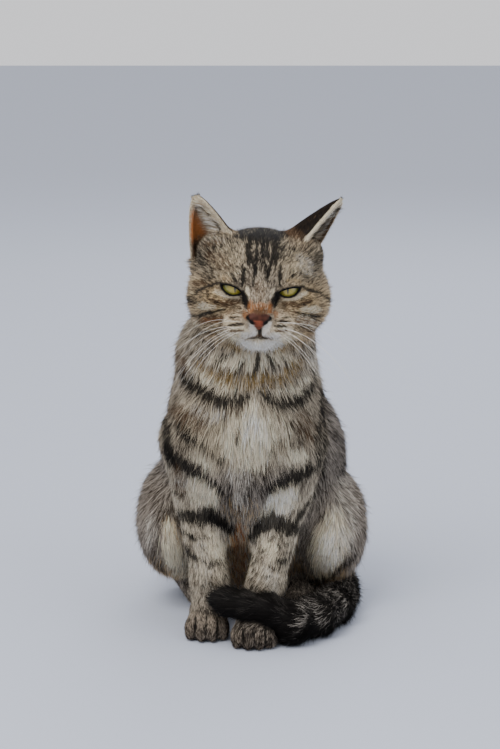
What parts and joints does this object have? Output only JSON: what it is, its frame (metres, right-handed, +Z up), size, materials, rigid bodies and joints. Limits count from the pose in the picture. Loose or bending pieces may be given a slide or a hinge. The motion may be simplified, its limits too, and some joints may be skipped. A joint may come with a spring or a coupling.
{
  "type": "cat figure",
  "caption": "Life-size still model of a short-haired tabby cat sitting upright, head raised, tail laid round its feet.",
  "frame": {"origin": "on the floor, under the middle of the cat's bounding box", "axes": "+Z up, the cat faces -Y, its left side is +X"},
  "size_m": [0.2074, 0.2786, 0.3812],
  "materials": {
    "fur": "short dense agouti fur with dark stripes",
    "dark_fur": "short dense fur, grizzled dark grey-brown with a black tip",
    "nose_leather": "bare pebbled brick-red skin with a dark rim",
    "eye": "wet clear cornea over a yellow-green iris with a slit pupil",
    "whisker": "stiff white hairs"
  },
  "bodies": {
    "root": {"head": "fur", "nose": "nose_leather", "ear_left": "fur", "ear_right": "fur", "eye_left": "eye", "eye_right": "eye", "neck": "fur", "trunk": "fur", "thigh_left": "fur", "thigh_right": "fur", "hindfoot_left": "fur", "hindfoot_right": "fur", "foreleg_left": "fur", "foreleg_right": "fur", "forepaw_left": "fur", "forepaw_right": "fur", "tail_base": "dark_fur", "tail_side": "dark_fur", "tail_front": "dark_fur", "tail_tip": "dark_fur"}
  },
  "joints": []
}
